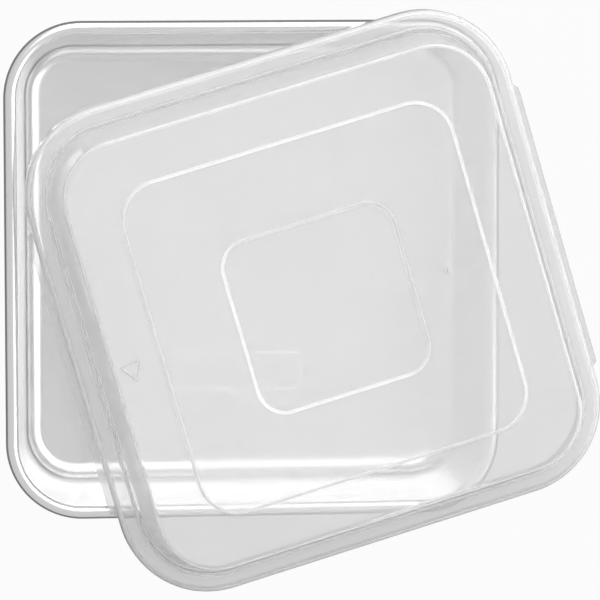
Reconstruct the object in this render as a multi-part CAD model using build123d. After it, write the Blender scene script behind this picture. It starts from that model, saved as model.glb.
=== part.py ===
from build123d import *
import math
import os

# A square baking pan with a storage lid lying askew on it, in millimetres.
# The origin is the middle of the pan's underside, on the surface that it stands on.
# The pan is one drawn aluminium sheet whose edge is curled over a steel wire.
# The lid is one moulded sheet: a skirt, a channel that fits over the curled rim,
# a plug that enters the mouth, a raised wall and a flat deck with two stepped squares.

# Pan
panWidth = 251.5  # over the curled rim, the same both ways
panHeight = 63.5
panSheet = 1.0
rimCornerRadius = 39.0  # outside, seen from above
curlRadius = 3.5  # outside of the curl
curlTurn = 303.0  # how far the sheet wraps round the wire
wallDraft = 7.5  # lean of the walls, so that pans stack
floorFillet = 9.0  # inside, between wall and floor

# Wire inside the curl
wirePlay = 0.2  # between the wire and the sheet, all round
wireEndGap = 1.5  # where the two ends meet

# Lid
lidWall = 1.0
lidRimPlay = 0.6  # between the skirt and the curl when the lid is on
skirtHeight = 9.5  # lower edge of the skirt to the top of the channel
channelRadius = 3.2  # inside rounding, between skirt and channel
plugRadius = 1.8  # inside rounding, between channel and plug
snapBeadBite = 0.3  # how far the snap bead passes under the curl
snapBeadHeight = 1.4
snapBeadLevel = 0.9  # middle of the bead above the skirt's edge
plugPlay = 0.4  # between the plug and the pan's mouth
plugDepth = 4.0  # how far the plug enters the mouth
plugValleyWidth = 1.6
deckHeight = 38.0  # lower edge of the skirt to the top of the deck
deckInset = 16.0  # outside of the skirt to the edge of the deck
deckEdgeRadius = 2.5
lidCornerRadius = 46.0
deckFrameWidth = 6.0  # flat band of the deck that the raised wall carries

# Stepped squares on the deck
outerSquareWidth = 174.0
outerSquareRadius = 21.0
outerSquareRise = 1.0
innerSquareWidth = 91.0
innerSquareRadius = 15.0
innerSquareSink = 0.8
stepSlope = 55.0  # lean of the steps from upright

# Finger tabs on two sides of the skirt
tabLength = 150.0
tabReach = 3.4
tabThickness = 1.2
tabEndRadius = 3.0

# Bends in a section are drawn as flats that turn by this many degrees at most
bendStep = 34.0

# How the lid lies: turned, pushed aside, and resting on three points of the rim
lidTurn = 16.4
lidAsideX = 30.9
lidAsideY = -16.0
restGap = 0.55  # between lid and rim at the three points

rimHalf = panWidth / 2
skirtHalf = rimHalf + lidRimPlay + lidWall
curlLevel = panHeight - curlRadius


def roundAndRound(section, cornerRadius, half):
    """The solid that a section leaves as it follows a rounded square.

    The section lies in the XZ plane, with X measured outwards from a corner's axis.
    """
    reach = half - cornerRadius
    corner = Pos(reach, reach) * revolve(section, Axis.Z, revolution_arc=90)
    side = extrude(Pos(reach, -reach) * section, 2 * reach, dir=(0, 1, 0))
    quarters = [Rot(0, 0, 90 * turn) * piece for turn in range(4) for piece in (corner, side)]
    return quarters[0].fuse(*quarters[1:])


def inFlats(section):
    """The section in the XZ plane, with each bend of its outline drawn as short flats."""
    points = []
    for edge in section.face().outer_wire().order_edges():
        turn = 0 if edge.geom_type == GeomType.LINE else math.degrees(edge.length / edge.radius)
        count = max(1, math.ceil(turn / bendStep))
        points += [edge @ (step / count) for step in range(count)]
    return Plane.XZ * make_face(Polyline(*points, close=True))


def roundedSquare(width, radius, level):
    return Pos(0, 0, level) * RectangleRounded(width, width, radius)


def onePiece(shape):
    return shape.solids()[0] if len(shape.solids()) == 1 else shape


# The pan's inner surface, from the flat floor out to the tucked end of the curl.
# The wall is a straight line that touches the curl's outer circle and the fillet.
draft = math.radians(wallDraft)
curlCentre = Vector(rimCornerRadius - curlRadius, curlLevel)
wallNormal = Vector(-math.cos(draft), math.sin(draft))
wallTop = curlCentre + wallNormal * curlRadius
wallDrop = (wallTop.Y - panSheet - floorFillet * (1 - math.sin(draft))) / math.cos(draft)
wallFoot = wallTop - Vector(math.sin(draft), math.cos(draft)) * wallDrop
filletCentre = wallFoot + wallNormal * floorFillet
floorCornerRadius = filletCentre.X
floorHalf = rimHalf - rimCornerRadius + floorCornerRadius


def panFace(depth):
    """The line of the pan's inner face, or of the face that lies so deep below it."""
    bend = CenterArc((filletCentre.X, filletCentre.Y), floorFillet + depth, -90, 90 - wallDraft)
    curl = CenterArc((curlCentre.X, curlCentre.Y), curlRadius - depth, 180 - wallDraft, -curlTurn)
    wall = Line(bend @ 1, curl @ 0)
    return bend, wall, curl


def pan():
    inner = panFace(0)
    outer = panFace(panSheet)
    floorEnd = Line(inner[0] @ 0, outer[0] @ 0)
    curlEnd = Line(inner[2] @ 1, outer[2] @ 1)
    section = inFlats(make_face([*inner, curlEnd, *outer, floorEnd]))
    rimAndWalls = roundAndRound(section, rimCornerRadius, rimHalf)
    floor = extrude(roundedSquare(2 * floorHalf, floorCornerRadius, 0), panSheet)
    return rimAndWalls + floor


def rimWire():
    wireRadius = curlRadius - panSheet - wirePlay
    section = inFlats(Pos(curlCentre.X, curlCentre.Y) * Circle(wireRadius))
    ring = roundAndRound(section, rimCornerRadius, rimHalf)
    gap = Pos(0, rimHalf - curlRadius, curlLevel) * Box(wireEndGap, 2 * curlRadius, 2 * curlRadius)
    return ring - gap


# The lid's own frame: origin in the middle of its lower edge, Z up through the deck.
plugInset = lidWall + lidRimPlay + 2 * curlRadius + plugPlay
plugLevel = skirtHeight - lidWall - plugDepth


def lidRim():
    """Skirt, channel, plug, raised wall and the edge of the deck."""
    outside = lidCornerRadius
    valleyStart = plugInset + lidWall
    points = [
        (outside, 0),
        (outside, skirtHeight),
        (outside - valleyStart, skirtHeight),
        (outside - valleyStart, plugLevel + lidWall),
        (outside - valleyStart - plugValleyWidth, plugLevel + lidWall),
        (outside - deckInset, deckHeight),
        (outside - deckInset - deckFrameWidth, deckHeight),
    ]
    valleyRadius = 0.45 * plugValleyWidth
    crowns = [channelRadius + lidWall, plugRadius + lidWall]
    path = FilletPolyline(*points, radius=[*crowns, valleyRadius, valleyRadius, deckEdgeRadius])
    sheet = make_face(path.wire().offset_2d(lidWall, side=Side.LEFT).edges())
    innerFace = outside - lidWall
    beadReach = lidRimPlay + snapBeadBite
    bead = make_face(Polyline(
        (innerFace, snapBeadLevel - snapBeadHeight / 2),
        (innerFace - beadReach, snapBeadLevel),
        (innerFace, snapBeadLevel + snapBeadHeight / 2),
        close=True,
    ))
    return roundAndRound(inFlats(sheet + bead), lidCornerRadius, skirtHalf)


def step(width, radius, rise):
    """A solid block with leaning sides, which lifts or sinks a square of the deck."""
    direction = 1 if rise > 0 else -1
    outline = roundedSquare(width, radius, deckHeight)
    return extrude(outline, abs(rise), dir=(0, 0, direction), taper=stepSlope)


def deck():
    half = skirtHalf - deckInset - deckFrameWidth
    radius = lidCornerRadius - deckInset - deckFrameWidth
    plate = extrude(roundedSquare(2 * half, radius, deckHeight - lidWall), lidWall)
    raised = step(outerSquareWidth, outerSquareRadius, outerSquareRise)
    sunk = Pos(0, 0, outerSquareRise) * step(innerSquareWidth, innerSquareRadius, -innerSquareSink)
    raisedPlate = plate + raised - Pos(0, 0, -lidWall) * raised
    return raisedPlate + Pos(0, 0, -lidWall) * sunk - sunk


def tab():
    """One finger tab on the +X side, flush with the skirt's lower edge."""
    rootDepth = lidWall / 2
    outline = Rectangle(tabReach + rootDepth, tabLength)
    outline = fillet(outline.vertices().group_by(Axis.X)[-1], tabEndRadius)
    middle = skirtHalf + (tabReach - rootDepth) / 2
    return Pos(middle, 0) * extrude(outline, tabThickness)


def lid():
    return lidRim() + deck() + [tab(), Rot(0, 0, 180) * tab()]


def restingPlace():
    """The plane of the lid's lower edge as it rests on the rim.

    The skirt's edge crosses the rim twice, and the plug stands on the far corner.
    """
    turn = math.radians(lidTurn)
    across = Vector(math.cos(turn), math.sin(turn), 0)
    along = Vector(-math.sin(turn), math.cos(turn), 0)
    middle = Vector(lidAsideX, lidAsideY, 0)
    edge = skirtHalf - lidWall / 2
    rimLine = rimHalf - curlRadius
    rimTop = Vector(0, 0, panHeight + restGap)

    corner = middle + along * edge
    first = corner + across * ((rimLine - corner.Y) / across.Y)
    corner = middle - across * edge
    second = corner - along * ((rimLine + corner.Y) / along.Y)
    cornerAxis = rimHalf - rimCornerRadius
    third = Vector(cornerAxis, -cornerAxis, 0) - along * (rimCornerRadius - curlRadius)

    first = first + rimTop
    second = second + rimTop
    third = third + rimTop - Vector(0, 0, plugLevel)
    up = (second - first).cross(third - first).normalized()
    drop = (middle - first).dot(up) / up.Z
    return Plane(origin=middle - Vector(0, 0, drop), x_dir=across - up * across.dot(up), z_dir=up)


os.makedirs("parts", exist_ok=True)
pieces = {
    "pan": pan(),
    "rim_wire": rimWire(),
    "lid": restingPlace() * lid(),
}
for name, piece in pieces.items():
    piece = onePiece(piece)
    piece.label = name
    export_step(piece, f"parts/{name}.step")
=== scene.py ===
import bpy
import bmesh
import math
from mathutils import Matrix, Vector


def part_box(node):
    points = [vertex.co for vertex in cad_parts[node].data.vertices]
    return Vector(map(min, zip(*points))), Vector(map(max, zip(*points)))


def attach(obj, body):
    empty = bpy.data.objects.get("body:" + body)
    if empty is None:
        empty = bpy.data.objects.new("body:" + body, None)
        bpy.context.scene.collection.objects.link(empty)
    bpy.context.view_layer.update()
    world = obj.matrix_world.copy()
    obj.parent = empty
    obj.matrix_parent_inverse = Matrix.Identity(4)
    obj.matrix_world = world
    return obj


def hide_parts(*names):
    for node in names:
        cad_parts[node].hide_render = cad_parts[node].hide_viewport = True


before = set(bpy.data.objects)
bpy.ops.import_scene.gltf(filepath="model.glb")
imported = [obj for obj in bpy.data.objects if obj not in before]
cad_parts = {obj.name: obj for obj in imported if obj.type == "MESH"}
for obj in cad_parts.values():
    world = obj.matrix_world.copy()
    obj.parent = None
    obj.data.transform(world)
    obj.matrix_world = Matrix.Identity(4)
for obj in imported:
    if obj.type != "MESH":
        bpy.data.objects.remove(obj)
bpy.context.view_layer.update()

# A square baking pan with its storage lid lying askew on it.
# Sizes are in millimetres here and become metres where a mesh is made.
mm = 0.001
cornerSteps = 24  # faces round each corner of the pan and the lid
bendStep = 10  # degrees that one face turns in a bend
hardAngle = 40  # degrees between two faces that leave a hard edge
mergeReach = 0.001  # points this near to each other become one
levelReach = 0.05  # a point this near to a level lies on it
facing = 0.99  # a face looks along an axis when its normal has this share of it
noiseSpan = {"From Min": 0.3, "From Max": 0.7}  # most of a noise pattern lies between these


def linearColour(code):
    # an sRGB hex value as the linear colour that the shaders want
    channels = [int(code[i:i + 2], 16) / 255 for i in (0, 2, 4)]
    return tuple(c / 12.92 if c <= 0.04045 else ((c + 0.055) / 1.055) ** 2.4 for c in channels) + (1.0,)


def addNode(tree, kind, settings=None, inputs=None):
    node = tree.nodes.new(kind)
    for name, value in (settings or {}).items():
        setattr(node, name, value)
    for name, value in (inputs or {}).items():
        if isinstance(value, bpy.types.NodeSocket):
            tree.links.new(value, node.inputs[name])
        else:
            node.inputs[name].default_value = value
    return node


def newMaterial(name):
    material = bpy.data.materials.new(name)
    material.use_nodes = True
    material.node_tree.nodes.clear()
    return material, material.node_tree


def drawWire(bm, points, roundings):
    # a line through points of the XZ plane, with a radius at some of its corners
    corners = [Vector((x, 0, z)) * mm for x, z in points]
    verts = [bm.verts.new(corner) for corner in corners]
    for start, end in zip(verts, verts[1:]):
        bm.edges.new((start, end))
    for index, radius in roundings.items():
        turn = (corners[index] - corners[index - 1]).angle(corners[index + 1] - corners[index])
        bmesh.ops.bevel(bm, geom=[verts[index]], offset=radius * mm * math.tan(turn / 2),
                        offset_type="OFFSET", segments=max(2, round(math.degrees(turn) / bendStep)),
                        profile=0.5, affect="VERTICES", material=-1)
    return verts


def followSquare(bm, half, cornerRadius):
    # carries the wire round a rounded square: a spin at each corner and a pull along each side
    reach = (half - cornerRadius) * mm
    wire = bm.verts[:] + bm.edges[:]
    bmesh.ops.translate(bm, verts=bm.verts[:], vec=(reach, reach, 0))
    for corner in range(4):
        quarter = Matrix.Rotation(math.radians(90 * corner), 3, "Z")
        spun = bmesh.ops.spin(bm, geom=wire, cent=quarter @ Vector((reach, reach, 0)), axis=(0, 0, 1),
                              dvec=(0, 0, 0), angle=math.radians(90), steps=cornerSteps, use_merge=False)
        edges = [e for e in spun["geom_last"] if isinstance(e, bmesh.types.BMEdge)]
        pulled = bmesh.ops.extrude_edge_only(bm, edges=edges)["geom"]
        verts = {v for v in pulled if isinstance(v, bmesh.types.BMVert)}
        bmesh.ops.translate(bm, verts=list(verts), vec=quarter @ Vector((-2 * reach, 0, 0)))
        wire = list(verts) + [e for e in pulled if isinstance(e, bmesh.types.BMEdge)
                              and verts.issuperset(e.verts)]
    bmesh.ops.remove_doubles(bm, verts=bm.verts[:], dist=mergeReach * mm)


def openEdges(bm, level):
    # the open edges of a sheet that lie at one level
    return [e for e in bm.edges if e.is_boundary
            and all(abs(v.co.z - level * mm) < levelReach * mm for v in e.verts)]


def drawSquare(bm, half, cornerRadius, level):
    # a rounded square as a closed line
    before = set(bm.edges)
    place = Matrix.Translation((0, 0, level * mm)) @ Matrix.Rotation(math.radians(45), 4, "Z")
    corners = bmesh.ops.create_circle(bm, segments=4, radius=half * math.sqrt(2) * mm,
                                      matrix=place)["verts"]
    bmesh.ops.bevel(bm, geom=corners, offset=cornerRadius * mm, offset_type="OFFSET",
                    segments=cornerSteps, profile=0.5, affect="VERTICES", material=-1)
    return [e for e in bm.edges if e not in before]


def finishPiece(bm, name, body, materials, stands=None, place=None):
    # makes the mesh a piece of one body, in the place of the solid that it stands for
    if place:
        bmesh.ops.transform(bm, matrix=place, verts=bm.verts[:])
    mesh = bpy.data.meshes.new(name)
    bm.to_mesh(mesh)
    bm.free()
    for polygon in mesh.polygons:
        polygon.use_smooth = True
    mesh.set_sharp_from_angle(angle=math.radians(hardAngle))
    for material in materials:
        mesh.materials.append(material)
    piece = bpy.data.objects.new(name, mesh)
    bpy.context.collection.objects.link(piece)
    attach(piece, body)
    if stands:
        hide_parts(stands)
    return piece


def keepFlatsFlat(piece):
    # the shading of a wide flat isn't pulled round by the small bends beside it
    flats = piece.modifiers.new("flats", "WEIGHTED_NORMAL")
    flats.keep_sharp = True


# Drawn aluminium sheet, left bare: the press leaves a satin grey-white metal,
# with a very faint grain from the rolling mill.
aluminium = {
    "light": "F6F6F6",
    "dark": "F0F0F0",
    "roughness": (0.22, 0.26),
    "grainWidth": 0.8,  # real grain is about 0.1 mm wide, too fine to show
    "grainLength": 30.0,
    "grainDepth": 0.0001,
    "cloudWidth": 45.0,
}


def makeAluminium():
    material, tree = newMaterial("bareDrawnAluminium")
    where = addNode(tree, "ShaderNodeTexCoord").outputs["Object"]
    along = addNode(tree, "ShaderNodeMapping", inputs={
        "Vector": where,
        "Scale": (aluminium["grainWidth"] / aluminium["grainLength"], 1, 1)}).outputs["Vector"]
    grain = addNode(tree, "ShaderNodeTexNoise", inputs={
        "Vector": along, "Scale": 1 / (aluminium["grainWidth"] * mm), "Detail": 2.0}).outputs["Fac"]
    cloud = addNode(tree, "ShaderNodeTexNoise", inputs={
        "Vector": where, "Scale": 1 / (aluminium["cloudWidth"] * mm), "Detail": 1.0}).outputs["Fac"]
    both = addNode(tree, "ShaderNodeMix", {"data_type": "FLOAT"}, {0: 0.5, 2: grain, 3: cloud}).outputs[0]
    tone = addNode(tree, "ShaderNodeMix", {"data_type": "RGBA"}, {
        0: both, 6: linearColour(aluminium["dark"]), 7: linearColour(aluminium["light"])}).outputs[2]
    low, high = aluminium["roughness"]
    gloss = addNode(tree, "ShaderNodeMapRange", inputs={
        **noiseSpan, "Value": both, "To Min": low, "To Max": high}).outputs["Result"]
    relief = addNode(tree, "ShaderNodeBump", inputs={
        "Height": grain, "Strength": 1.0, "Distance": aluminium["grainDepth"] * mm}).outputs["Normal"]
    metal = addNode(tree, "ShaderNodeBsdfPrincipled", inputs={
        "Base Color": tone, "Metallic": 1.0, "Roughness": gloss, "Normal": relief})
    addNode(tree, "ShaderNodeOutputMaterial", inputs={"Surface": metal.outputs["BSDF"]})
    return material


# Moulded polypropylene, natural and unpigmented: a milky, slightly blurred see-through plastic.
# The ring between the two squares of the deck comes from a textured part of the mould, so it is frosted.
polypropylene = {
    "colour": "F4F4F4",
    "clearWeight": 0.78,  # the rest scatters, which gives the milkiness
    "wallWeight": 0.35,  # a steep wall is looked through lengthwise, so it is milkier
    "paintedHighlightBendWeight": 0.1,  # painted highlight: a bend is made much less clear, so that it looks white like a lit bend
    "scatter": 0.35,
    "edgeScatter": 1.0,  # walls and bends pass more light on sideways
    "scatterDepth": 6.0,
    "lightThrough": 0.75,  # how much light a sheet lets on to what lies under it
    "ior": 1.45,
    "clearRoughness": (0.03, 0.06),
    "frostRoughness": (0.1, 0.18),
    "flowWidth": 28.0,  # waves that the melt leaves
    "flowDepth": 0.02,
    "dappleWidth": 2.6,  # the frosting's soft spots
    "dappleDepth": 0.0003,
}


def makePolypropylene(name, clearWeight, scatter="scatter", grade="clear", wave="flow"):
    material, tree = newMaterial(name)
    where = addNode(tree, "ShaderNodeTexCoord").outputs["Object"]
    waves = addNode(tree, "ShaderNodeTexNoise", inputs={
        "Vector": where, "Scale": 1 / (polypropylene[wave + "Width"] * mm), "Detail": 1.0}).outputs["Fac"]
    low, high = polypropylene[grade + "Roughness"]
    gloss = addNode(tree, "ShaderNodeMapRange", inputs={
        **noiseSpan, "Value": waves, "To Min": low, "To Max": high}).outputs["Result"]
    relief = addNode(tree, "ShaderNodeBump", inputs={
        "Height": waves, "Strength": 1.0, "Distance": polypropylene[wave + "Depth"] * mm}).outputs["Normal"]
    plastic = addNode(tree, "ShaderNodeBsdfPrincipled", inputs={
        "Base Color": linearColour(polypropylene["colour"]), "Roughness": gloss, "Normal": relief,
        "IOR": polypropylene["ior"], "Transmission Weight": polypropylene[clearWeight],
        "Subsurface Weight": polypropylene[scatter], "Subsurface Radius": (1.0, 1.0, 1.0),
        "Subsurface Scale": polypropylene["scatterDepth"] * mm})
    shadow = addNode(tree, "ShaderNodeMath", {"operation": "MULTIPLY"}, {
        0: addNode(tree, "ShaderNodeLightPath").outputs["Is Shadow Ray"], 1: polypropylene["lightThrough"]})
    sheet = addNode(tree, "ShaderNodeMixShader", inputs={
        0: shadow.outputs[0], 1: plastic.outputs["BSDF"],
        2: addNode(tree, "ShaderNodeBsdfTransparent").outputs["BSDF"]})
    addNode(tree, "ShaderNodeOutputMaterial", inputs={"Surface": sheet.outputs["Shader"]})
    return material


# Galvanised steel wire: dipped zinc, dull grey and a little blotched.
steel = {"light": "B9BDC0", "dark": "9FA3A7", "roughness": 0.42, "blotchWidth": 2.5}


def makeSteel():
    material, tree = newMaterial("galvanisedSteelWire")
    where = addNode(tree, "ShaderNodeTexCoord").outputs["Object"]
    blotch = addNode(tree, "ShaderNodeTexNoise", inputs={
        "Vector": where, "Scale": 1 / (steel["blotchWidth"] * mm)}).outputs["Fac"]
    tone = addNode(tree, "ShaderNodeMix", {"data_type": "RGBA"}, {
        0: blotch, 6: linearColour(steel["dark"]), 7: linearColour(steel["light"])}).outputs[2]
    metal = addNode(tree, "ShaderNodeBsdfPrincipled", inputs={
        "Base Color": tone, "Metallic": 1.0, "Roughness": steel["roughness"]})
    addNode(tree, "ShaderNodeOutputMaterial", inputs={"Surface": metal.outputs["BSDF"]})
    return material


bareAluminium = makeAluminium()
clearPlastic = makePolypropylene("milkyPolypropylene", "clearWeight")
frostedPlastic = makePolypropylene("frostedPolypropylene", "clearWeight", grade="frost", wave="dapple")
wallPlastic = makePolypropylene("milkyPolypropyleneWall", "wallWeight", scatter="edgeScatter")
# painted highlight: a copy of the plastic that lets little light through, put on the bends and the mould
# marks so that they look white
paintedHighlightPlastic = makePolypropylene("polypropyleneBendPaintedHighlight", "paintedHighlightBendWeight", scatter="edgeScatter")
wireSteel = makeSteel()
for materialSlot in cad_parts["rim_wire"].material_slots:
    materialSlot.material = wireSteel
print("materials made")


# The pan: one sheet, drawn as its inner face and then thickened outwards.
panLow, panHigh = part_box("pan")
panSizes = {
    "half": (panHigh[0] - panLow[0]) / 2 / mm,  # over the curled rim
    "height": 63.4,  # the real one is 63.5, but the solid's curl is drawn in flats and ends lower
    "cornerRadius": 39.0,
    "sheet": 1.0,
    "curlRadius": 3.5,
    "curlTurn": 303.0,  # how far the sheet wraps round the wire
    "draft": 7.5,  # lean of the walls
    "floorFillet": 9.0,
    "flatStart": 10.0,  # where the flat of the floor begins, from the axis of a corner
}


def makePan(sizes):
    lean = math.radians(sizes["draft"])
    curlX = sizes["cornerRadius"] - sizes["curlRadius"]
    curlZ = sizes["height"] - sizes["curlRadius"]
    topX = curlX - sizes["curlRadius"] * math.cos(lean)
    topZ = curlZ + sizes["curlRadius"] * math.sin(lean)
    footX = topX - math.tan(lean) * (topZ - sizes["sheet"])
    bm = bmesh.new()
    section = drawWire(bm, [(sizes["flatStart"], sizes["sheet"]), (footX, sizes["sheet"]), (topX, topZ)],
                       {1: sizes["floorFillet"]})
    bmesh.ops.spin(bm, geom=[section[2]], cent=Vector((curlX, 0, curlZ)) * mm, axis=(0, 1, 0),
                   dvec=(0, 0, 0), angle=math.radians(sizes["curlTurn"]),
                   steps=round(sizes["curlTurn"] / bendStep), use_merge=False)
    followSquare(bm, sizes["half"], sizes["cornerRadius"])
    bmesh.ops.edgeloop_fill(bm, edges=openEdges(bm, sizes["sheet"]))
    bmesh.ops.recalc_face_normals(bm, faces=bm.faces[:])
    floorFace = max(bm.faces, key=lambda face: face.calc_area())
    if floorFace.normal.z < 0:
        bmesh.ops.reverse_faces(bm, faces=bm.faces[:])
    pan = finishPiece(bm, "panShell", "pan_body", [bareAluminium], stands="pan")
    wall = pan.modifiers.new("sheet", "SOLIDIFY")
    wall.thickness = sizes["sheet"] * mm
    wall.offset = -1
    wall.use_even_offset = True
    keepFlatsFlat(pan)


# A plain raised outline on the floor of the pan.
stampSizes = {
    "width": 67.0,
    "depth": 20.0,
    "radius": 3.0,
    "cornerSteps": 6,
    "line": 1.0,
    "height": 0.6,
    "sunk": 0.1,  # how far the ridge reaches into the sheet
    "middle": (-2.3, -58.1),
}
ridge = {
    "bevel": 0.45,  # as a share of the ridge's height
    "bevelSteps": 2,
    "bevelFrom": 60,  # degrees between the faces of an edge that is softened
}


def raiseOutline(bm, face, line, height):
    # leaves the rim of a face as a low ridge with softened edges
    rim = bmesh.ops.inset_region(bm, faces=[face], thickness=line * mm, use_even_offset=True,
                                 use_boundary=True)["faces"]
    bmesh.ops.delete(bm, geom=[face], context="FACES_ONLY")
    bmesh.ops.solidify(bm, geom=rim, thickness=height * mm)
    bmesh.ops.recalc_face_normals(bm, faces=bm.faces[:])
    corners = [edge for edge in bm.edges if edge.calc_face_angle(0) > math.radians(ridge["bevelFrom"])]
    bmesh.ops.bevel(bm, geom=corners, offset=ridge["bevel"] * height * mm, offset_type="OFFSET",
                    segments=ridge["bevelSteps"], profile=0.5, affect="EDGES", material=-1)


def setDown(bm, middle, level):
    # moves a flat mark so that it starts at a level, over its own middle
    lowest = min(vert.co.z for vert in bm.verts)
    bmesh.ops.translate(bm, verts=bm.verts[:], vec=Vector((*middle, level)) * mm - Vector((0, 0, lowest)))


def makeStamp(sizes):
    bm = bmesh.new()
    bmesh.ops.create_grid(bm, x_segments=1, y_segments=1, size=0.5 * mm)
    bmesh.ops.scale(bm, vec=(sizes["width"], sizes["depth"], 1), verts=bm.verts[:])
    bmesh.ops.bevel(bm, geom=bm.verts[:], offset=sizes["radius"] * mm, offset_type="OFFSET",
                    segments=sizes["cornerSteps"], profile=0.5, affect="VERTICES", material=-1)
    raiseOutline(bm, bm.faces[:][0], sizes["line"], sizes["height"])
    setDown(bm, sizes["middle"], panSizes["sheet"] - sizes["sunk"])
    finishPiece(bm, "floorStampOutline", "pan_body", [bareAluminium])


makePan(panSizes)
makeStamp(stampSizes)
print("pan made")


# The lid: skirt, channel over the rim, plug, raised wall and a deck with two stepped squares.
# It is drawn in its own frame, lower edge at zero, and then laid where the solid lies.
lidSizes = {
    "half": 127.32,  # over the skirt, just under the real 127.35 to stay inside the solid
    "cornerRadius": 46.0,
    "wall": 1.0,
    "skirtHeight": 9.5,
    "channelRadius": 3.2,
    "plugRadius": 1.8,
    "plugInset": 9.0,
    "plugLevel": 4.5,
    "valleyWidth": 1.6,
    "valleyRadius": 0.72,
    "deckHeight": 38.0,
    "deckInset": 16.0,
    "deckEdgeRadius": 2.5,
    "deckFrame": 6.0,
    "beadLevel": 0.9,
    "beadHeight": 1.4,
    "beadReach": 0.9,
    "stepBends": 8,  # strips in the slope of a stepped square
    "frostReach": 1.2,  # the frosting ends this far inside the raised square, on both faces of the deck
    "paintedHighlightSlope": (0.5, 0.88),  # how steep the part of a bend is that takes the painted highlight, the less clear plastic that looks white
}
# Each square of the deck: how far it rises, how wide its slope runs and which strips of it take the painted
# highlight, a less clear plastic that looks white.
lidSquares = [
    {"half": 87.0, "cornerRadius": 21.0, "rise": 1.0, "run": 1.9, "white": (2, 3, 4, 5, 6, 7)},
    {"half": 45.5, "cornerRadius": 15.0, "rise": -0.8, "run": 1.7, "white": (1, 8)},
]
tabSizes = {"length": 150.0, "reach": 3.38, "thick": 1.2, "endRadius": 3.0, "endSteps": 5}
# The lid lies turned and aside, tilted a little because it rests on the rim and on its own plug.
lidPlace = {"aside": (30.9, -16.0, 62.744), "turn": 16.4, "up": (0.027077, -0.013446, 0.999543)}
lidPlastics = [clearPlastic, frostedPlastic, wallPlastic, paintedHighlightPlastic]
clearPart, frostedPart, wallPart, paintedHighlightPart = range(4)


def shiftPath(points, distance):
    # the same line moved to its right-hand side, with mitred corners
    steps = [Vector(b) - Vector(a) for a, b in zip(points, points[1:])]
    normals = [Vector((step.y, -step.x)).normalized() for step in steps]
    moved = []
    for index, point in enumerate(points):
        before, after = normals[max(index - 1, 0)], normals[min(index, len(normals) - 1)]
        moved.append(tuple(Vector(point) + (before + after) * (distance / (1 + before.dot(after)))))
    return moved


def lidRestingPlace():
    up = Vector(lidPlace["up"]).normalized()
    turn = math.radians(lidPlace["turn"])
    across = Vector((math.cos(turn), math.sin(turn), 0))
    across = (across - up * across.dot(up)).normalized()
    turned = Matrix((across, up.cross(across), up)).transposed().to_4x4()
    return Matrix.Translation(Vector(lidPlace["aside"]) * mm) @ turned


def pullTab(bm, side, sizes):
    # pulls the middle of the skirt's lowest strip outwards
    def isStrip(face):
        middle = face.calc_center_median()
        return (face.normal.x * side > facing and middle.x * side > (lidSizes["half"] - levelReach) * mm
                and middle.z < sizes["thick"] * mm and abs(middle.y) < sizes["length"] / 2 * mm)
    for end in (-1, 1):
        strip = [face for face in bm.faces if isStrip(face)]
        geometry = {part for face in strip for part in (face, *face.edges, *face.verts)}
        bmesh.ops.bisect_plane(bm, geom=list(geometry), plane_co=(0, end * sizes["length"] / 2 * mm, 0),
                               plane_no=(0, 1, 0))
    strip = [face for face in bm.faces if isStrip(face)]
    tab = bmesh.ops.extrude_discrete_faces(bm, faces=strip)["faces"]
    verts = {vert for face in tab for vert in face.verts}
    bmesh.ops.translate(bm, verts=list(verts), vec=(side * sizes["reach"] * mm, 0, 0))
    ends = [edge for face in tab for edge in face.edges
            if abs(edge.verts[0].co.y - edge.verts[1].co.y) < levelReach * mm]
    bmesh.ops.bevel(bm, geom=ends, offset=sizes["endRadius"] * mm, offset_type="OFFSET",
                    segments=sizes["endSteps"], profile=0.5, affect="EDGES", material=-1)


def drawDeck(bm, sizes, drop):
    # joins the raised wall to the deck's stepped squares, on its upper or lower face
    level = sizes["deckHeight"] - drop
    last = openEdges(bm, level)
    for square in lidSquares:
        run = square["run"]
        for part in range(sizes["stepBends"] + 1):
            share = part / sizes["stepBends"]
            rise = square["rise"] * (1 - math.cos(math.pi * share)) / 2
            ring = drawSquare(bm, square["half"] - run * share, square["cornerRadius"] - run * share,
                              level + rise)
            if part:
                strip = bmesh.ops.bridge_loops(bm, edges=last + ring)["faces"]
                # painted highlight: these strips of the slope take the less clear plastic, so that they
                # look white
                if part in square["white"]:
                    for face in strip:
                        face.material_index = paintedHighlightPart
            else:
                bmesh.ops.triangle_fill(bm, edges=last + ring, use_beauty=True, normal=(0, 0, 1))
            last = ring
        level += square["rise"]
    bmesh.ops.edgeloop_fill(bm, edges=last)


def shareOutPlastics(bm, sizes):
    # frosts the ring between the squares, makes walls milkier and gives bends a painted highlight: the less
    # clear plastic that looks white
    big, small = (square["half"] * mm for square in lidSquares)
    deckLevel = (sizes["deckHeight"] - sizes["frostReach"]) * mm
    steepest, flattest = sizes["paintedHighlightSlope"]
    for face in bm.faces:
        if face.material_index == paintedHighlightPart:
            continue
        reach = max(max(abs(vert.co.x), abs(vert.co.y)) for vert in face.verts)
        isRing = small < reach < big - sizes["frostReach"] * mm
        if isRing and face.calc_center_median().z > deckLevel:
            face.material_index = frostedPart
        if abs(face.normal.z) < steepest:
            face.material_index = wallPart
        # painted highlight: a sloping face outside the big square takes the less clear plastic
        elif abs(face.normal.z) < flattest and reach > big:
            face.material_index = paintedHighlightPart


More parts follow.
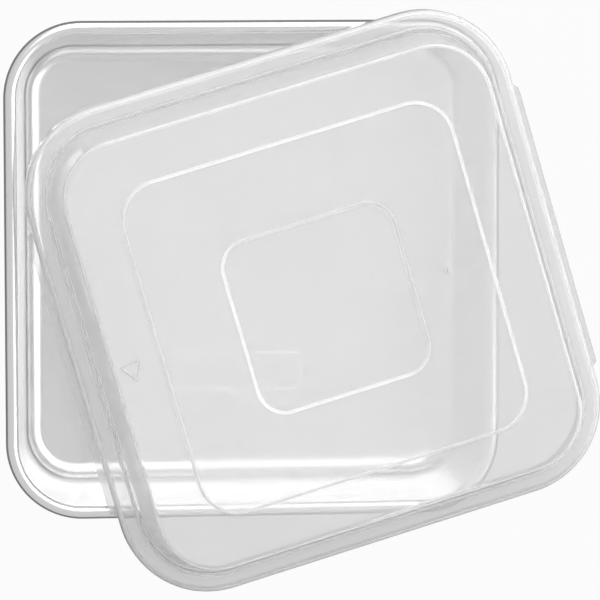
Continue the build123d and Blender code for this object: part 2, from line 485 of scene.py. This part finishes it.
def makeLid(sizes):
    outside = sizes["cornerRadius"]
    plug = outside - sizes["plugInset"] - sizes["wall"]
    valley = sizes["plugLevel"] + sizes["wall"]
    deckEdge = outside - sizes["deckInset"]
    upper = [
        (deckEdge - sizes["deckFrame"], sizes["deckHeight"]),
        (deckEdge, sizes["deckHeight"]),
        (plug - sizes["valleyWidth"], valley),
        (plug, valley),
        (plug, sizes["skirtHeight"]),
        (outside, sizes["skirtHeight"]),
        (outside, 0),
    ]
    lower = shiftPath(upper, sizes["wall"])[::-1]
    skirtFace = lower[0][0]
    bead = [
        (skirtFace, sizes["beadLevel"] - sizes["beadHeight"] / 2),
        (skirtFace - sizes["beadReach"], sizes["beadLevel"]),
        (skirtFace, sizes["beadLevel"] + sizes["beadHeight"] / 2),
    ]
    points = upper[:-1] + [(outside, tabSizes["thick"]), upper[-1], lower[0]] + bead + lower[1:]
    wall, channel, crown = sizes["wall"], sizes["channelRadius"], sizes["plugRadius"]
    foot, edge = sizes["valleyRadius"], sizes["deckEdgeRadius"]
    # the radius at a corner of the section, by the corner's number
    roundings = {1: edge, 2: foot, 3: foot, 4: crown + wall, 5: channel + wall, 10: sizes["beadHeight"] / 3,
                 12: channel, 13: crown, 14: foot + wall, 15: foot + wall, 16: edge - wall}
    bm = bmesh.new()
    drawWire(bm, points, roundings)  # the closed section, but for the deck
    followSquare(bm, sizes["half"], outside)
    drawDeck(bm, sizes, 0)
    drawDeck(bm, sizes, wall)
    bmesh.ops.recalc_face_normals(bm, faces=bm.faces[:])
    for side in (-1, 1):
        pullTab(bm, side, tabSizes)
    shareOutPlastics(bm, sizes)
    lid = finishPiece(bm, "lidShell", "lid_body", lidPlastics,
                      stands="lid", place=lidRestingPlace())
    keepFlatsFlat(lid)


# Two small plain marks of the mould on the deck: the gate's dot and a triangle.
markSizes = {
    "gate": (63.1, 0.5),
    "gateRadius": 1.3,
    "gateSides": 24,
    "triangle": (-101.5, -0.6),
    "triangleRadius": 6.6,
    "triangleTurn": 65.8,
    "line": 0.6,
    "height": 0.3,
    "sunk": 0.05,  # how far a mark reaches into the deck
}


def makeMarks(sizes):
    bm = bmesh.new()
    turned = Matrix.Rotation(math.radians(sizes["triangleTurn"]), 4, "Z")
    bmesh.ops.create_circle(bm, cap_ends=True, segments=3, radius=sizes["triangleRadius"] * mm,
                            matrix=turned)
    raiseOutline(bm, bm.faces[:][0], sizes["line"], sizes["height"])
    deckTop = lidSizes["deckHeight"] - sizes["sunk"]
    setDown(bm, sizes["triangle"], deckTop)
    gateLevel = deckTop + lidSquares[0]["rise"] + sizes["height"] / 2
    bmesh.ops.create_cone(bm, cap_ends=True, segments=sizes["gateSides"], radius1=sizes["gateRadius"] * mm,
                          radius2=sizes["gateRadius"] * mm, depth=sizes["height"] * mm,
                          matrix=Matrix.Translation(Vector((*sizes["gate"], gateLevel)) * mm))
    # painted highlight: the marks take the less clear plastic of the bends, so that they look white
    finishPiece(bm, "lidMouldMarks", "lid_body", [paintedHighlightPlastic],
                place=lidRestingPlace())


makeLid(lidSizes)
makeMarks(markSizes)
print("lid made")


# Studio, in metres: a floor that the camera sees as white, and soft lamps behind, in the corner
# and at the right.
studio = {
    "floorWidth": 8.0,
    "floorDrop": 0.2,  # millimetres under the pan, so that the two faces don't meet
    "floorColour": "6E6E6E",  # a mid grey, so that the outside of the pan mirrors something darker
    "floorWhite": {"Is Camera Ray": 0.96, "Is Glossy Ray": 0.02, "Is Transmission Ray": 0.5},
    "worldWhite": {"Is Camera Ray": 1.0, "Is Glossy Ray": 0.05, "Is Transmission Ray": 0.5},
    "worldGrey": "D0D0D0",
    "aim": (0.03, -0.02, 0.04),
}
lamps = {
    "behind": {"place": (0.2, 2.0, 1.9), "size": (2.1, 2.8), "brightness": 2.0},
    "corner": {"place": (1.6, 1.4, 1.9), "size": (1.2, 2.8), "brightness": 1.8},
    "right": {"place": (2.0, 0.0, 1.9), "size": (2.1, 2.8), "brightness": 1.9},
}


def whiteShare(tree, shares):
    # how white the background is to a ray that shows it: to the camera, in the metal or through the lid
    path = addNode(tree, "ShaderNodeLightPath")
    share = 0.0
    for ray, white in shares.items():
        part = addNode(tree, "ShaderNodeMath", {"operation": "MULTIPLY"}, {0: path.outputs[ray], 1: white})
        share = addNode(tree, "ShaderNodeMath", {"operation": "MAXIMUM"},
                        {0: share, 1: part.outputs[0]}).outputs[0]
    return share


def makeFloor():
    material, tree = newMaterial("paleStudioFloor")
    paper = addNode(tree, "ShaderNodeBsdfDiffuse", inputs={"Color": linearColour(studio["floorColour"])})
    white = addNode(tree, "ShaderNodeEmission", inputs={"Strength": 1.0})
    seen = addNode(tree, "ShaderNodeMixShader", inputs={
        0: whiteShare(tree, studio["floorWhite"]), 1: paper.outputs["BSDF"], 2: white.outputs["Emission"]})
    addNode(tree, "ShaderNodeOutputMaterial", inputs={"Surface": seen.outputs["Shader"]})
    bm = bmesh.new()
    bmesh.ops.create_grid(bm, x_segments=1, y_segments=1, size=studio["floorWidth"] / 2,
                          matrix=Matrix.Translation((0, 0, -studio["floorDrop"] * mm)))
    mesh = bpy.data.meshes.new("studioFloor")
    bm.to_mesh(mesh)
    bm.free()
    mesh.materials.append(material)
    floor = bpy.data.objects.new("studioFloor", mesh)
    bpy.context.collection.objects.link(floor)


def makeWorld():
    world = bpy.data.worlds.new("studioWorld")
    bpy.context.scene.world = world
    world.use_nodes = True
    tree = world.node_tree
    tree.nodes.clear()
    grey = addNode(tree, "ShaderNodeBackground", inputs={"Color": linearColour(studio["worldGrey"])})
    white = addNode(tree, "ShaderNodeBackground", inputs={"Color": (1, 1, 1, 1)})
    both = addNode(tree, "ShaderNodeMixShader", inputs={
        0: whiteShare(tree, studio["worldWhite"]),
        1: grey.outputs["Background"], 2: white.outputs["Background"]})
    addNode(tree, "ShaderNodeOutputWorld", inputs={"Surface": both.outputs["Shader"]})


def turnTo(place, target, roll=0.0):
    # the placement that looks from place to target, with its sideways axis near the X axis
    back = (Vector(place) - Vector(target)).normalized()
    across = (Vector((1, 0, 0)) - back * back.x).normalized()
    across = Matrix.Rotation(math.radians(roll), 3, back) @ across
    return Matrix.Translation(place) @ Matrix((across, back.cross(across), back)).transposed().to_4x4()


def makeLamps():
    for name, lamp in lamps.items():
        light = bpy.data.lights.new(name, "AREA")
        light.shape = "RECTANGLE"
        light.size, light.size_y = lamp["size"]
        light.energy = lamp["brightness"] * math.pi * light.size * light.size_y
        lampObject = bpy.data.objects.new(name, light)
        bpy.context.collection.objects.link(lampObject)
        lampObject.matrix_world = turnTo(lamp["place"], studio["aim"])


# The camera, in metres, looks almost straight down, from far off and a little from the left and behind.
camera = {
    "place": (-0.2333, 0.1681, 2.1452),
    "target": (0.0238, -0.0160, 0.06),
    "roll": -0.726,
    "lens": 249.5,
    "sensor": 36.0,
    "clipEnd": 100.0,
}


def makeCamera():
    data = bpy.data.cameras.new("camera")
    data.lens = camera["lens"]
    data.sensor_width = camera["sensor"]
    data.clip_end = camera["clipEnd"]
    cameraObject = bpy.data.objects.new("camera", data)
    bpy.context.collection.objects.link(cameraObject)
    cameraObject.matrix_world = turnTo(camera["place"], camera["target"], camera["roll"])
    bpy.context.scene.camera = cameraObject


makeFloor()
makeWorld()
makeLamps()
makeCamera()
bpy.context.scene.view_settings.view_transform = "Standard"
print("studio made")
